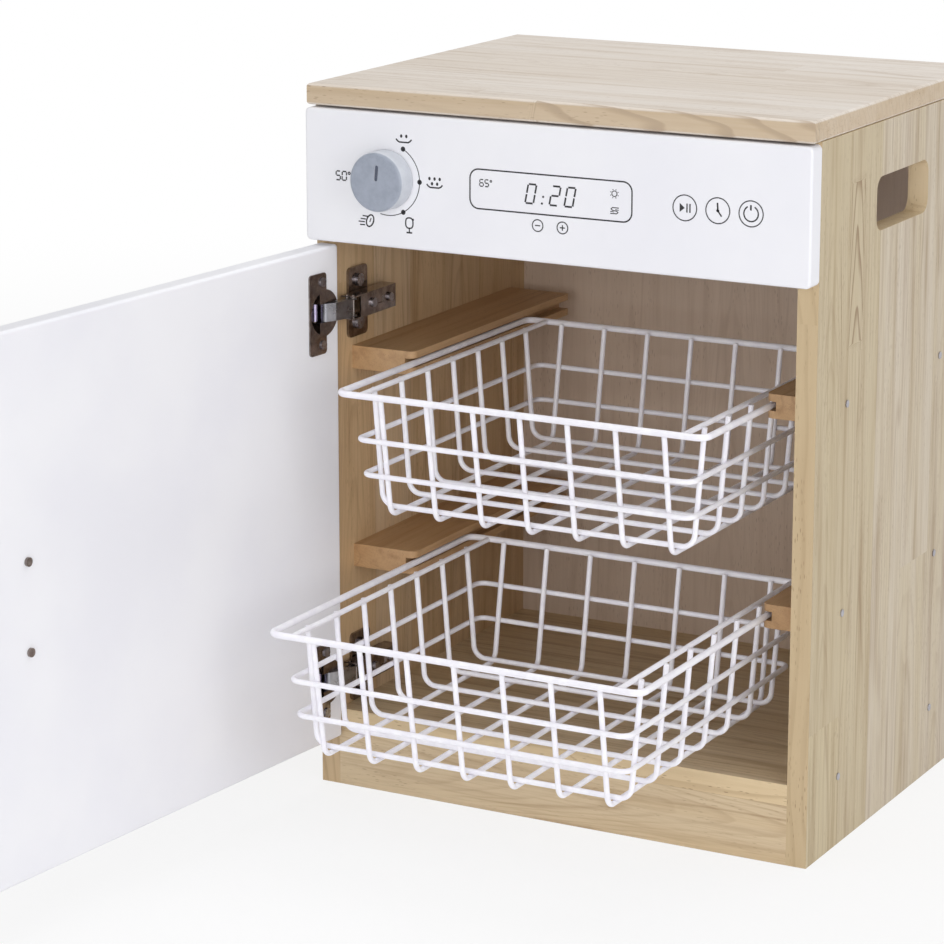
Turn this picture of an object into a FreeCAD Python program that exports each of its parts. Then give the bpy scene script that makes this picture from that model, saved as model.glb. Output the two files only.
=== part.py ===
import FreeCAD, Part
import math
import os
import re
import Sketcher

# Toy dishwasher: a wooden play cabinet with a swing door on two concealed hinges and two wire
# baskets that slide in grooved runners. It stands with its door open 95 degrees and both baskets
# pulled out. Origin: middle of the underside of the plinth. X right, -Y front, Z up.

# Driving sizes in millimetres and degrees: name, value, what it is.
SIZES = (
    ("cabinet_width", 409, "outside width"),
    ("cabinet_depth", 322, "depth of the side panels"),
    ("cabinet_height", 550, "overall height"),
    ("board", 16, "thickness of the edge-glued boards"),
    ("top_overhang", 13, "top board past the front of the sides"),
    ("top_edge_radius", 2.5, "rounding of the top board"),
    ("plinth_height", 45.5, "plinth under the bottom board"),
    ("back_thickness", 5, "back panel"),
    ("back_inset", 10, "back panel in from the rear edge"),
    ("fascia_height", 100.2, "white control panel"),
    ("fascia_thickness", 16, "white control panel"),
    ("fascia_gap", 1.5, "shadow gap under the top board"),
    ("fascia_corner", 4, "corner radius of the control panel"),
    ("fascia_edge", 2, "edge rounding of the control panel"),
    ("slot_length", 102, "hand slot, front to rear"),
    ("slot_height", 40, "hand slot"),
    ("slot_corner", 10, "corner radius of the hand slot"),
    ("slot_setback", 104.8, "hand slot behind the front edge"),
    ("slot_drop", 40.3, "hand slot below the top board"),
    ("screw_front", 56.9, "front case screws behind the front edge"),
    ("screw_rear", 242, "rear case screws behind the front edge"),
    ("screw_shank", 3.5, "wood screw shank diameter"),
    ("screw_head", 5.5, "case screw head diameter"),
    ("screw_head_rise", 0.8, "case screw head height"),
    ("screw_grip", 10, "wood screw in the board that it holds in"),
    ("bore_play", 0.1, "radial play of a fixed pin or screw"),
    ("runner_height", 18, "basket runner"),
    ("runner_rear_gap", 25.8, "runner end to the back panel"),
    ("runner_setback", 23.7, "runner behind the front edge"),
    ("runner_left_width", 54, "packed out to clear the hinges"),
    ("runner_right_width", 33, "runner on the free side"),
    ("runner_nose", 6, "rounded front corner of a runner"),
    ("groove_height", 7, "groove that guides the basket rim"),
    ("groove_depth", 8, "groove that guides the basket rim"),
    ("upper_runner_drop", 92.4, "upper runners below the top of the door"),
    ("lower_runner_centre", 179.2, "height of the lower runners"),
    ("door_top_gap", 3.7, "door below the control panel"),
    ("door_thickness", 16, "white door"),
    ("door_bottom", 40.4, "door above the floor"),
    ("door_edge", 2.5, "edge rounding of the door"),
    ("door_gap", 2.2, "closed door to the front of the case"),
    ("door_side_gap", 1, "closed door in from the case side"),
    ("door_open", 95, "door angle at rest"),
    ("hinge_inset", 49.5, "hinge centre from each end of the door"),
    ("cup_diameter", 35, "hinge cup"),
    ("cup_depth", 11.5, "hinge cup"),
    ("cup_wall", 1.2, "hinge cup wall and flange"),
    ("cup_centre", 20.3, "cup centre from the hinge edge"),
    ("cup_rim", 0.5, "cup rim past the bore"),
    ("flange_length", 62, "screw flange of the cup, upright"),
    ("flange_width", 21.2, "screw flange of the cup"),
    ("flange_shift", 7.5, "flange past the cup centre"),
    ("flange_corner", 3, "corner radius of the screw flange"),
    ("cup_screw_reach", 24, "flange screws above and below the cup"),
    ("cup_screw_shift", 1.7, "flange screws past the cup centre"),
    ("cup_screw_head", 7, "flange screw head"),
    ("cup_screw_rise", 1.2, "flange screw head height"),
    ("cheek_gap", 14.4, "between the cheeks inside the cup"),
    ("cheek_reach", 23, "cheeks from the cup edge"),
    ("outer_pivot_in", 11.5, "outer link pivot from the side panel"),
    ("outer_pivot_back", 6, "outer link pivot behind the front edge"),
    ("inner_pivot_in", 6.5, "inner link pivot from the side panel"),
    ("inner_pivot_back", 5, "inner link pivot behind the front edge"),
    ("cup_pivot_along", 8.76, "cup pivot from the hinge edge"),
    ("cup_pivot_deep", 2.75, "cup pivot into the door"),
    ("link_share", 0.29, "turn of the links per turn of the door"),
    ("pin_diameter", 2.6, "hinge pins"),
    ("pin_play", 0.05, "radial running play of the hinge pins"),
    ("pin_rise", 0.3, "arm pin past the arm, each side"),
    ("pin_bite", 1.6, "cup pin past the outer link, into the cheek"),
    ("pin_hole_deep", 2.2, "pin hole from the outer link into the cheek"),
    ("link_plate", 0.9, "thickness of the outer link sides"),
    ("link_outer_width", 13.8, "over both sides of the outer link"),
    ("outer_eye", 2.8, "outer link, radius round its arm pin"),
    ("outer_cup_eye", 2.2, "outer link, radius round its cup pin"),
    ("outer_knee_along", 10.1, "outer link knee from the hinge edge, door open"),
    ("outer_knee_off", 3.1, "outer link knee off the door, door open"),
    ("outer_tip_along", 17.5, "outer link tip from the hinge edge, door open"),
    ("outer_tip_deep", 0.2, "outer link tip below the door face, door open"),
    ("outer_bend_radius", 2.3, "outer link round its knee and tip"),
    ("web_start", 3, "web of the outer link from its arm pin"),
    ("web_sheet", 0.9, "web of the outer link"),
    ("web_proud", 0.2, "web past the edge of the side plates"),
    ("web_reach", 1.5, "web past the tip, into the cup"),
    ("inner_link_width", 11.4, "inner link"),
    ("inner_eye", 2.3, "inner link, radius round its arm pin"),
    ("inner_strap", 1.3, "inner link, half its thickness"),
    ("inner_rise_along", 2, "inner link over the door edge, door open"),
    ("inner_rise_off", 3.2, "inner link over the door edge, door open"),
    ("inner_bend_along", 9.2, "inner link bend from the hinge edge, door open"),
    ("inner_bend_off", 1.7, "inner link bend off the door, door open"),
    ("inner_end_along", 14.5, "inner link end from the hinge edge, door open"),
    ("inner_end_deep", 5, "inner link end below the door face, door open"),
    ("sleeve_along", 22.8, "sleeve of the second cup pin from the hinge edge"),
    ("sleeve_deep", 6, "sleeve of the second cup pin below the door face"),
    ("sleeve_diameter", 4.8, "sleeve of the second cup pin"),
    ("sleeve_length", 13, "sleeve of the second cup pin"),
    ("sleeve_pin_bite", 1.3, "second cup pin into each cheek"),
    ("sleeve_pin_play", 0.2, "second cup pin to the end of its holes"),
    ("arm_width", 18, "hinge arm channel"),
    ("arm_sheet", 1, "hinge arm sheet"),
    ("arm_height", 15, "hinge arm off the side panel"),
    ("arm_lift", 3, "arm flanges off the side panel"),
    ("arm_nose", 2.5, "arm behind the front edge"),
    ("arm_length", 62, "hinge arm"),
    ("arm_cut_back", 9, "arm top cut back over the links"),
    ("clamp_front", 30, "front arm screw behind the front edge"),
    ("clamp_rear", 55, "rear arm screw behind the front edge"),
    ("clamp_head", 7, "arm screw head"),
    ("clamp_head_rise", 2, "arm screw head height"),
    ("clamp_shank", 3.5, "arm screw shank"),
    ("clamp_grip", 7.5, "arm screw under the arm"),
    ("arm_slot_length", 9, "slot between the arm screws"),
    ("arm_slot_width", 5, "slot between the arm screws"),
    ("plate_wing_height", 54, "mounting plate wings, upright"),
    ("plate_wing_width", 28, "mounting plate wings, front to rear"),
    ("plate_wing_sheet", 2.2, "mounting plate wings"),
    ("plate_wing_corner", 4, "corner radius of the wings"),
    ("plate_centre", 29.5, "mounting plate wings behind the front edge"),
    ("plate_body_front", 18, "block under the arm behind the front edge"),
    ("plate_body_length", 44, "block under the arm"),
    ("plate_body_play", 0.4, "block inside the arm, each side"),
    ("plate_screw_reach", 16.5, "plate screws above and below"),
    ("plate_screw_head", 10, "plate screw head"),
    ("plate_screw_rise", 2.5, "plate screw head height"),
    ("handle_pitch", 64, "handle screw spacing"),
    ("handle_from_edge", 44, "handle from the free edge of the door"),
    ("handle_rise", 26, "handle off the door"),
    ("handle_bar", 10, "handle bar diameter"),
    ("handle_bend", 12, "bend radius of the handle"),
    ("handle_screw", 4, "handle screw shank"),
    ("handle_screw_grip", 8, "handle screw in the handle"),
    ("handle_hole", 12, "depth of the holes in the handle"),
    ("handle_screw_head", 6.5, "handle screw head"),
    ("handle_screw_rise", 1.8, "handle screw head height"),
    ("knob_from_side", 70, "programme knob in from the left side"),
    ("knob_drop", 50.5, "programme knob below the top board"),
    ("knob_diameter", 44.5, "programme knob"),
    ("knob_rise", 16.5, "programme knob"),
    ("knob_edge", 2.5, "face rounding of the knob"),
    ("knob_gap", 0.5, "knob off the control panel"),
    ("knob_line", 12, "pointer groove, length"),
    ("knob_line_start", 0.8, "pointer groove above the centre"),
    ("knob_line_width", 3, "pointer groove"),
    ("knob_line_end", 1.45, "pointer groove, rounding of its ends"),
    ("knob_line_deep", 0.9, "pointer groove"),
    ("knob_lean", 5.3, "pointer groove to the right of upright"),
    ("spindle_diameter", 8, "knob spindle"),
    ("spindle_flange", 18, "spindle flange behind the control panel"),
    ("spindle_sheet", 3, "spindle flange thickness"),
    ("rim_wire", 5, "basket rim wire"),
    ("wire", 4, "basket mesh wire"),
    ("weld", 0.1, "welded wires, surface to surface"),
    ("basket_play", 0.3, "rim above the groove floor"),
    ("rim_side_play", 3, "rim to the bottom of a groove"),
    ("basket_front", 3, "rim behind the front edge when pushed in"),
    ("rim_corner", 8, "rim bend radius"),
    ("bay_width", 18, "inset side wire from the rim"),
    ("long_margin", 33.5, "outermost front-to-rear wire from the rim"),
    ("cross_margin", 30, "outermost side-to-side wire from the rim"),
    ("long_slope", 0.16, "end wall slope"),
    ("cross_slope", 0.0817, "side wall slope"),
    ("basket_depth", 92.5, "lowest wires below the rim"),
    ("wire_bend", 10, "bend radius of the mesh"),
    ("hoop_upper", 34.6, "upper hoop below the rim"),
    ("hoop_lower", 61.7, "lower hoop below the rim"),
    ("upper_pulled", 89, "upper basket pulled out at rest"),
    ("lower_pulled", 187, "lower basket pulled out at rest"),
    ("basket_stop", 4, "rim to the back panel when pushed in"),
)
MESH_COUNT = 7

# Places worked out from the driving sizes, as expressions.
FRONT = "(-board / 2)"
INNER = "(cabinet_width / 2 - board)"
SIDE_TOP = "(cabinet_height - board)"
ROOM_DEPTH = "(cabinet_depth - back_inset - back_thickness)"
BACK_FACE = "(%s - board / 2)" % ROOM_DEPTH
FLOOR_MIDDLE = "(plinth_height + board / 2)"
FASCIA_BOTTOM = "(cabinet_height - board - fascia_gap - fascia_height)"
KNOB_X = "(knob_from_side - cabinet_width / 2)"
KNOB_HEIGHT = "(cabinet_height - board - knob_drop)"
DOOR_TOP = "(%s - door_top_gap)" % FASCIA_BOTTOM
DOOR_HEIGHT = "(%s - door_bottom)" % DOOR_TOP
DOOR_WIDTH = "(cabinet_width - 2 * door_side_gap)"
HANDLE_ALONG = "(%s - handle_from_edge)" % DOOR_WIDTH
HANDLE_HEIGHTS = [
    "((%s + door_bottom %s handle_pitch) / 2)" % (DOOR_TOP, sign) for sign in "-+"
]
RUNNER_HEIGHTS = {
    "upper": "(%s - upper_runner_drop)" % DOOR_TOP,
    "lower": "(lower_runner_centre)",
}
RUNNER_LENGTH = "(%s - runner_setback - runner_rear_gap)" % ROOM_DEPTH
SCREW_HEIGHTS = (RUNNER_HEIGHTS["upper"], RUNNER_HEIGHTS["lower"], FLOOR_MIDDLE)
SCREW_SETBACKS = ("screw_front", "screw_rear")
HINGE_HEIGHTS = {
    "upper": "(%s - hinge_inset)" % DOOR_TOP,
    "lower": "(door_bottom + hinge_inset)",
}

SHEET_NAME = "Sizes"
ALIASES = {name for name, value, note in SIZES}
ORIGIN_ROLES = {"XY": "XY_Plane", "XZ": "XZ_Plane", "YZ": "YZ_Plane"}
PARTS = []

doc = FreeCAD.newDocument("ToyDishwasher")


# Spreadsheet and expressions

def make_sheet():
    sheet = doc.addObject("Spreadsheet::Sheet", SHEET_NAME)
    for row, (name, value, note) in enumerate(SIZES, 1):
        sheet.set("A%d" % row, note)
        sheet.set("B%d" % row, str(value))
        sheet.setAlias("B%d" % row, name)
    doc.recompute()
    return sheet


def size(text):
    """Value of one named size, or of an expression of them, as a number."""
    return float(doc.getObject(SHEET_NAME).evalExpression(bound(text)))


def bound(text):
    """Expression text with each size's name pointed at its cell."""
    def cell(found):
        word = found.group()
        return SHEET_NAME + "." + word if word in ALIASES else word
    return re.sub(r"[a-z_]+", cell, text)


def bind(item, **sizes):
    for name, text in sizes.items():
        item.setExpression(name, bound(text))


def place(item, corner):
    for axis, text in zip("xyz", corner):
        item.setExpression("Placement.Base." + axis, bound(text))


def keep(item, label):
    """Register a finished sub-part under its own name."""
    item.Label = label
    PARTS.append(item)
    return item


# Part primitives and booleans

def block(name, sizes, corner):
    item = doc.addObject("Part::Box", name)
    bind(item, Length=sizes[0], Width=sizes[1], Height=sizes[2])
    place(item, corner)
    return item


def rod(name, diameter, length, base, direction):
    """Cylinder from a base point along a fixed direction."""
    item = doc.addObject("Part::Cylinder", name)
    bind(item, Radius="(%s) / 2" % diameter, Height=length)
    item.Placement.Rotation = FreeCAD.Rotation(FreeCAD.Vector(0, 0, 1), direction)
    place(item, base)
    return item


def fused(name, items):
    item = doc.addObject("Part::MultiFuse", name)
    item.Shapes = items
    return item


def cut(name, base, tools):
    item = doc.addObject("Part::Cut", name)
    item.Base = base
    item.Tool = tools[0] if len(tools) == 1 else fused(name + "_tools", tools)
    return item


def grouped(name, items):
    """Separate like pieces that share one node."""
    item = doc.addObject("Part::Compound", name)
    item.Links = items
    return item


RIGHT = FreeCAD.Vector(1, 0, 0)
LEFT = FreeCAD.Vector(-1, 0, 0)
FRONTWARD = FreeCAD.Vector(0, -1, 0)
BACKWARD = FreeCAD.Vector(0, 1, 0)
UP = FreeCAD.Vector(0, 0, 1)
DOWN = FreeCAD.Vector(0, 0, -1)


# Sketches and features of a body

def new_body(name):
    return doc.addObject("PartDesign::Body", name)


def new_sketch(body, plane, name):
    sketch = body.newObject("Sketcher::SketchObject", name)
    role = ORIGIN_ROLES[plane]
    support = [item for item in body.Origin.OriginFeatures if item.Role == role][0]
    sketch.AttachmentSupport = [(support, "")]
    sketch.MapMode = "FlatFace"
    return sketch


def constrain(sketch, kind, where, name, text):
    """Add one named dimension, positive, bound to an expression."""
    number = sketch.addConstraint(Sketcher.Constraint(kind, *where, 1.0))
    sketch.renameConstraint(number, name)
    sketch.setExpression(".Constraints." + name, bound(text))


def draw_rectangle(sketch, corner, extent, tag=""):
    """Rectangle from a corner: corner and extent are pairs of expressions."""
    x, y, w, d = 0.0, 0.0, 20.0, 10.0
    points = [(x, y), (x + w, y), (x + w, y + d), (x, y + d)]
    first = sketch.GeometryCount
    for start, end in zip(points, points[1:] + points[:1]):
        line = Part.LineSegment(FreeCAD.Vector(*start, 0), FreeCAD.Vector(*end, 0))
        sketch.addGeometry(line, False)
    for step in range(4):
        after = first + (step + 1) % 4
        sketch.addConstraint(Sketcher.Constraint("Coincident", first + step, 2, after, 1))
    for step, kind in enumerate(("Horizontal", "Vertical", "Horizontal", "Vertical")):
        sketch.addConstraint(Sketcher.Constraint(kind, first + step))
    constrain(sketch, "DistanceX", (first, 1, first, 2), "wide" + tag, extent[0])
    constrain(sketch, "DistanceY", (first + 1, 1, first + 1, 2), "tall" + tag, extent[1])
    constrain(sketch, "DistanceX", (-1, 1, first, 1), "across" + tag, corner[0])
    constrain(sketch, "DistanceY", (-1, 1, first, 1), "up" + tag, corner[1])


def draw_circle(sketch, centre, diameter, tag):
    number = sketch.addGeometry(Part.Circle(FreeCAD.Vector(1, 1, 0), UP, 1.0), False)
    constrain(sketch, "Diameter", (number,), "round" + tag, diameter)
    constrain(sketch, "DistanceX", (-1, 1, number, 3), "across" + tag, centre[0])
    constrain(sketch, "DistanceY", (-1, 1, number, 3), "up" + tag, centre[1])


def pad(body, sketch, length, name):
    item = body.newObject("PartDesign::Pad", name)
    item.Profile = sketch
    bind(item, Length=length)
    doc.recompute()
    return item


def pocket(body, sketch, depth, name, reverse=False):
    """Pocket that must take material away."""
    before = body.Shape.Volume
    item = body.newObject("PartDesign::Pocket", name)
    item.Profile = sketch
    item.Reversed = reverse
    bind(item, Length=depth)
    doc.recompute()
    if body.Shape.Volume >= before:
        raise ValueError(name + " cuts nothing")
    return item


def round_edges(body, base, radius, name, wanted):
    """Fillet on the edges that the test picks."""
    item = body.newObject("PartDesign::Fillet", name)
    edges = enumerate(base.Shape.Edges, 1)
    item.Base = (base, ["Edge%d" % number for number, edge in edges if wanted(edge)])
    bind(item, Radius=radius)
    doc.recompute()
    return item


def along(axis):
    """Test for straight edges that run along X, Y or Z."""
    def test(edge):
        start, end = edge.Vertexes[0].Point, edge.Vertexes[-1].Point
        span = end - start
        other = [abs(value) for number, value in enumerate(span) if number != axis]
        return abs(span[axis]) > 1e-6 and max(other) < 1e-6
    return test


def sheet_body(name, plane, corner, extent, thickness, radius):
    """Sheet with rounded corners, drawn on one of its body's planes."""
    body = new_body(name)
    outline = new_sketch(body, plane, name + "_outline")
    draw_rectangle(outline, corner, extent)
    base = pad(body, outline, thickness, name + "_pad")
    across = {"YZ": 0, "XZ": 1}[plane]
    round_edges(body, base, radius, name + "_corners", along(across))
    return body


def board_body(name, sizes, corner):
    """Board drawn in plan and raised to its height."""
    body = new_body(name)
    sketch = new_sketch(body, "XY", name + "_plan")
    draw_rectangle(sketch, ("0", "0"), sizes[:2])
    base = pad(body, sketch, sizes[2], name + "_pad")
    place(body, corner)
    return body, base


# Cabinet boards

def make_top_board():
    sizes = ("cabinet_width", "cabinet_depth + top_overhang", "board")
    corner = ("-cabinet_width / 2", FRONT + " - top_overhang", SIDE_TOP)
    body, base = board_body("top", sizes, corner)

    def outline(edge):
        return not along(2)(edge)
    round_edges(body, base, "top_edge_radius", "top_rounding", outline)
    keep(body, "top_board")


def make_side_panel(side, sign):
    """Side panel with its hand slot and six screw bores."""
    name = "side_" + side
    start = INNER if sign > 0 else "-cabinet_width / 2"
    sizes = ("board", "cabinet_depth", SIDE_TOP)
    body, base = board_body(name, sizes, (start, FRONT, "0"))
    slot = new_sketch(body, "YZ", name + "_slot")
    slot_corner = ("slot_setback", SIDE_TOP + " - slot_drop - slot_height")
    draw_rectangle(slot, slot_corner, ("slot_length", "slot_height"))
    opening = pocket(body, slot, "board", name + "_slot_cut", True)
    setback, length = size("slot_setback"), size("slot_length")

    def slot_corners(edge):
        place_y = edge.CenterOfMass.y
        within = setback - 1 < place_y < setback + length + 1
        return along(0)(edge) and within
    round_edges(body, opening, "slot_corner", name + "_slot_corners", slot_corners)
    bores = new_sketch(body, "YZ", name + "_bores")
    for row, height in enumerate(SCREW_HEIGHTS):
        for column, setback_name in enumerate(SCREW_SETBACKS):
            centre = (setback_name, height)
            tag = "%d%d" % (row, column)
            draw_circle(bores, centre, "screw_shank + 2 * bore_play", tag)
    pocket(body, bores, "board", name + "_bore_cut", True)
    if side == "left":
        drill_for_plates(body)
    keep(body, "side_panel_" + side)


def drill_for_plates(body):
    """Blind bores in the inner face for the screws of the mounting plates."""
    bores = new_sketch(body, "YZ", "plate_bores")
    bores.setExpression("AttachmentOffset.Base.z", bound("board"))
    for level, height in HINGE_HEIGHTS.items():
        for tag, sign in (("high", " + "), ("low", " - ")):
            centre = ("plate_centre", height + sign + "plate_screw_reach")
            draw_circle(bores, centre, "screw_shank + 2 * bore_play", level + tag)
    pocket(body, bores, "screw_grip + bore_play", "plate_bore_cut")


def screw_bores(name, sign, height, depth):
    """Bores that the case screws need in what the side panel holds."""
    bores = []
    for setback in SCREW_SETBACKS:
        base = ("%s%s" % ("-" if sign < 0 else "", INNER), FRONT + " + " + setback, height)
        tool = rod(name + "_bore", "screw_shank + 2 * bore_play", depth, base,
                   LEFT if sign > 0 else RIGHT)
        bores.append(tool)
    return bores


def make_bottom_board():
    sizes = ("2 * " + INNER, "cabinet_depth", "board")
    plain = block("bottom_plain", sizes, ("-" + INNER, FRONT, "plinth_height"))
    bores = screw_bores("bottom_left", -1, FLOOR_MIDDLE, "screw_grip")
    bores += screw_bores("bottom_right", 1, FLOOR_MIDDLE, "screw_grip")
    keep(cut("bottom", plain, bores), "bottom_board")


def make_plinth_and_back():
    plinth = ("2 * " + INNER, "board", "plinth_height")
    keep(block("plinth_block", plinth, ("-" + INNER, FRONT, "0")), "plinth")
    height = SIDE_TOP + " - plinth_height - board"
    back = ("2 * " + INNER, "back_thickness", height)
    corner = ("-" + INNER, BACK_FACE, "plinth_height + board")
    keep(block("back_block", back, corner), "back_panel")


# Control panel and knob

def make_fascia():
    sizes = ("cabinet_width", "fascia_thickness", "fascia_height")
    corner = ("-cabinet_width / 2", FRONT + " - fascia_thickness", FASCIA_BOTTOM)
    body, base = board_body("fascia", sizes, corner)
    corners = round_edges(body, base, "fascia_corner", "fascia_corners", along(1))

    def front_edges(edge):
        return all(abs(point.Point.y) < 1e-6 for point in edge.Vertexes)
    round_edges(body, corners, "fascia_edge", "fascia_edges", front_edges)
    hole = new_sketch(body, "XZ", "fascia_hole")
    centre = ("knob_from_side", KNOB_HEIGHT + " - " + FASCIA_BOTTOM)
    draw_circle(hole, centre, "spindle_diameter + 2 * bore_play", "")
    pocket(body, hole, "fascia_thickness", "fascia_hole_cut")
    keep(body, "control_fascia")


def make_knob():
    """Knob with a rounded face, a pointer groove and a blind bore."""
    face = FRONT + " - fascia_thickness - knob_gap"
    body = new_body("knob")
    disc = new_sketch(body, "XY", "knob_disc")
    draw_circle(disc, ("0", "0"), "knob_diameter", "")
    base = pad(body, disc, "knob_rise", "knob_pad")
    rise = size("knob_rise")

    def face_rim(edge):
        return abs(edge.CenterOfMass.z - rise) < 1e-6 and len(edge.Vertexes) == 1
    round_edges(body, base, "knob_edge", "knob_rounding", face_rim)
    line = new_sketch(body, "XY", "knob_line_outline")
    draw_rectangle(line, ("-knob_line_width / 2", "knob_line_start"),
                   ("knob_line_width", "knob_line"))
    line.setExpression("AttachmentOffset.Base.z", bound("knob_rise"))
    groove = pocket(body, line, "knob_line_deep", "knob_line_cut")
    deep = size("knob_line_deep")

    def groove_corners(edge):
        return along(2)(edge) and abs(edge.Length - deep) < 1e-6
    round_edges(body, groove, "knob_line_end", "knob_line_ends", groove_corners)
    bore = new_sketch(body, "XY", "knob_bore")
    draw_circle(bore, ("0", "0"), "spindle_diameter + 2 * pin_play", "")
    pocket(body, bore, "knob_rise * 0.6", "knob_bore_cut", True)
    lean = FreeCAD.Rotation(UP, -size("knob_lean"))
    body.Placement.Rotation = FreeCAD.Rotation(RIGHT, 90).multiply(lean)
    place(body, (KNOB_X, face, KNOB_HEIGHT))
    keep(body, "program_knob")


def make_spindle():
    """Spindle that the knob turns on, with its flange behind the control panel."""
    reach = "fascia_thickness + knob_gap + knob_rise * 0.55"
    base = (KNOB_X, FRONT, KNOB_HEIGHT)
    shaft = rod("spindle_shaft", "spindle_diameter", reach, base, FRONTWARD)
    flange = rod("spindle_plate", "spindle_flange", "spindle_sheet", base, BACKWARD)
    keep(fused("spindle", [shaft, flange]), "knob_spindle")


# Runners and case screws

def make_runner(level, side, sign):
    """Grooved rail: the groove opens towards the basket and at both ends."""
    name = "runner_%s_%s" % (level, side)
    width = "runner_%s_width" % side
    middle = RUNNER_HEIGHTS[level]
    sizes = (width, RUNNER_LENGTH, "runner_height")
    start = INNER + " - " + width if sign > 0 else "-" + INNER
    corner = (start, FRONT + " + runner_setback", middle + " - runner_height / 2")
    body, base = board_body(name + "_rail", sizes, corner)
    inner_side = 0.0 if sign > 0 else size(width)

    def nose(edge):
        point = edge.CenterOfMass
        return along(2)(edge) and abs(point.y) < 1e-6 and abs(point.x - inner_side) < 1e-6
    round_edges(body, base, "runner_nose", name + "_nose", nose)
    groove_start = "0" if sign > 0 else width + " - groove_depth"
    profile = new_sketch(body, "XZ", name + "_groove")
    low = "(runner_height - groove_height) / 2"
    draw_rectangle(profile, (groove_start, low), ("groove_depth", "groove_height"))
    pocket(body, profile, RUNNER_LENGTH, name + "_groove_cut")
    bores = screw_bores(name, sign, middle, "screw_grip")
    keep(cut(name, body, bores), name)


def make_case_screws():
    screws = []
    for sign, side in ((-1, "left"), (1, "right")):
        outward, inward = (RIGHT, LEFT) if sign > 0 else (LEFT, RIGHT)
        face = "%scabinet_width / 2" % ("-" if sign < 0 else "")
        for height in SCREW_HEIGHTS:
            for setback in SCREW_SETBACKS:
                base = (face, FRONT + " + " + setback, height)
                shank = rod("screw_shank_" + side, "screw_shank", "board + screw_grip", base,
                            inward)
                head = rod("screw_head_" + side, "screw_head", "screw_head_rise", base, outward)
                screws.append(fused("screw_" + side, [shank, head]))
    keep(grouped("case_screws", screws), "case_screws")


# Door frame of reference: X runs from the hinge edge, Y is 0 on the inner face and falls
# towards the outer face, Z is the height above the floor.

def turned(vector, degrees):
    return FreeCAD.Rotation(UP, degrees).multVec(vector)


def outer_pivot():
    across = -size("cabinet_width") / 2 + size("board") + size("outer_pivot_in")
    return FreeCAD.Vector(across, -size("board") / 2 + size("outer_pivot_back"), 0)


def inner_pivot():
    across = -size("cabinet_width") / 2 + size("board") + size("inner_pivot_in")
    return FreeCAD.Vector(across, -size("board") / 2 + size("inner_pivot_back"), 0)


def cup_pivot():
    """Cup pivot in the door's frame."""
    return FreeCAD.Vector(size("cup_pivot_along"), -size("cup_pivot_deep"), 0)


def closed_corner():
    """Hinge-side corner of the inner face with the door shut."""
    across = -size("cabinet_width") / 2 + size("door_side_gap")
    return FreeCAD.Vector(across, -size("board") / 2 - size("door_gap"), 0)


def door_placement(degrees):
    """Where the door's frame stands when the links carry it to this opening."""
    closed_link = closed_corner() + cup_pivot() - outer_pivot()
    link = turned(closed_link, size("link_share") * degrees)
    corner = outer_pivot() + link - turned(cup_pivot(), -degrees)
    return FreeCAD.Placement(corner, FreeCAD.Rotation(UP, -degrees))


def make_door():
    """Door panel with cup bores, screw bores and handle holes."""
    body = new_body("door")
    plan = new_sketch(body, "XY", "door_plan")
    draw_rectangle(plan, ("0", "-door_thickness"), (DOOR_WIDTH, "door_thickness"))
    base = pad(body, plan, DOOR_HEIGHT, "door_pad")
    rounded = round_edges(body, base, "door_edge", "door_edges", lambda edge: True)
    drilled = new_sketch(body, "XZ", "door_cup_bores")
    for level, height in HINGE_HEIGHTS.items():
        centre = ("cup_centre", height + " - door_bottom")
        draw_circle(drilled, centre, "cup_diameter + 2 * bore_play", level)
    pocket(body, drilled, "cup_depth + bore_play", "door_cup_bore_cut", True)
    bores = new_sketch(body, "XZ", "door_screw_bores")
    for level, height in HINGE_HEIGHTS.items():
        for tag, sign in (("high", " + "), ("low", " - ")):
            centre = (CUP_SCREW_ALONG, height + " - door_bottom" + sign + "cup_screw_reach")
            draw_circle(bores, centre, "screw_shank + 2 * bore_play", level + tag)
    pocket(body, bores, "screw_grip + bore_play", "door_screw_bore_cut", True)
    holes = new_sketch(body, "XZ", "door_handle_holes")
    for tag, height in zip(("low", "high"), HANDLE_HEIGHTS):
        centre = (HANDLE_ALONG, height + " - door_bottom")
        draw_circle(holes, centre, "handle_screw + 2 * bore_play", tag)
    pocket(body, holes, "door_thickness", "door_handle_hole_cut", True)
    rest = door_placement(size("door_open"))
    lift = FreeCAD.Vector(0, 0, size("door_bottom"))
    body.Placement = FreeCAD.Placement(rest.Base + lift, rest.Rotation)
    keep(body, "door_panel")


def on_door(item, label):
    """Hang a piece drawn in the door's frame on the open door."""
    item.Placement = door_placement(size("door_open"))
    keep(item, label)


def make_handle():
    """Bow handle: one bar bent twice, with its feet on the outer face."""
    low, high = [size(height) for height in HANDLE_HEIGHTS]
    face = -size("door_thickness")
    out = face - size("handle_rise - handle_bar / 2")
    at = size(HANDLE_ALONG)
    points = [(at, face, low), (at, out, low), (at, out, high), (at, face, high)]
    bar = tube(bent_path(points, size("handle_bend")), size("handle_bar"))
    radius = size("handle_screw / 2 + bore_play")
    for height in (low, high):
        foot = FreeCAD.Vector(at, face, height)
        bar = bar.cut(Part.makeCylinder(radius, size("handle_hole"), foot, FRONTWARD))
    item = doc.addObject("Part::Feature", "handle_bar")
    item.Shape = bar
    on_door(item, "door_handle")


def make_handle_screws():
    screws = []
    reach = "door_thickness + handle_screw_grip"
    for height in HANDLE_HEIGHTS:
        base = (HANDLE_ALONG, "0", height)
        shank = rod("handle_screw_shank", "handle_screw", reach, base, FRONTWARD)
        head = rod("handle_screw_top", "handle_screw_head", "handle_screw_rise", base, BACKWARD)
        screws.append(fused("handle_screw", [shank, head]))
    on_door(grouped("handle_screw_pair", screws), "handle_screws")


# Hinge cup on the door

CUP_SCREW_ALONG = "(cup_centre + cup_screw_shift)"


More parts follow.
